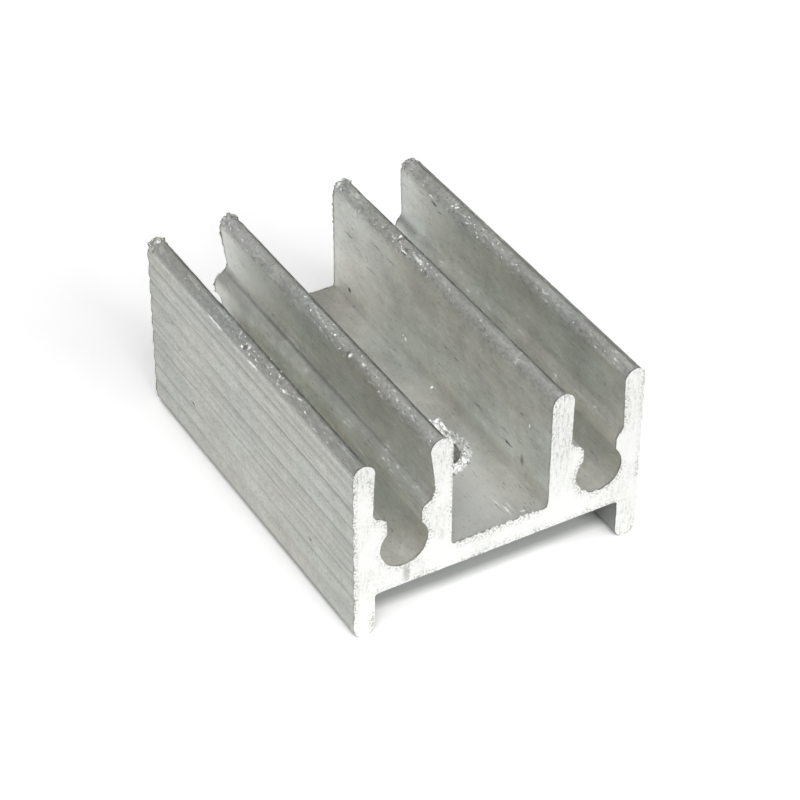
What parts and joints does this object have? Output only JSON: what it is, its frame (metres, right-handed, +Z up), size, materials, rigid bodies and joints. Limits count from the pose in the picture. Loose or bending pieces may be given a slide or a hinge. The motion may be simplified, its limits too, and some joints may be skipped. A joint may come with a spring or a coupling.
{
  "type": "extruded heat sink",
  "caption": "Small extruded aluminium heat sink with ribbed sides, upright fins, round screw grooves and a tapped screw hole in its web for a flat-tab power transistor.",
  "frame": {"origin": "under the middle of the piece, at the level of the bottoms of the feet", "axes": "+X across the profile, +Y along the extrusion, away from the end nearest the screw hole, +Z up from the feet to the fin tips"},
  "size_m": [0.015, 0.02, 0.0097],
  "materials": {
    "aluminium": "bare mill-finish extrusion, dull grey with fine die lines, and bright sawn ends"
  },
  "bodies": {
    "root": {"heat_sink": "aluminium"}
  },
  "joints": []
}
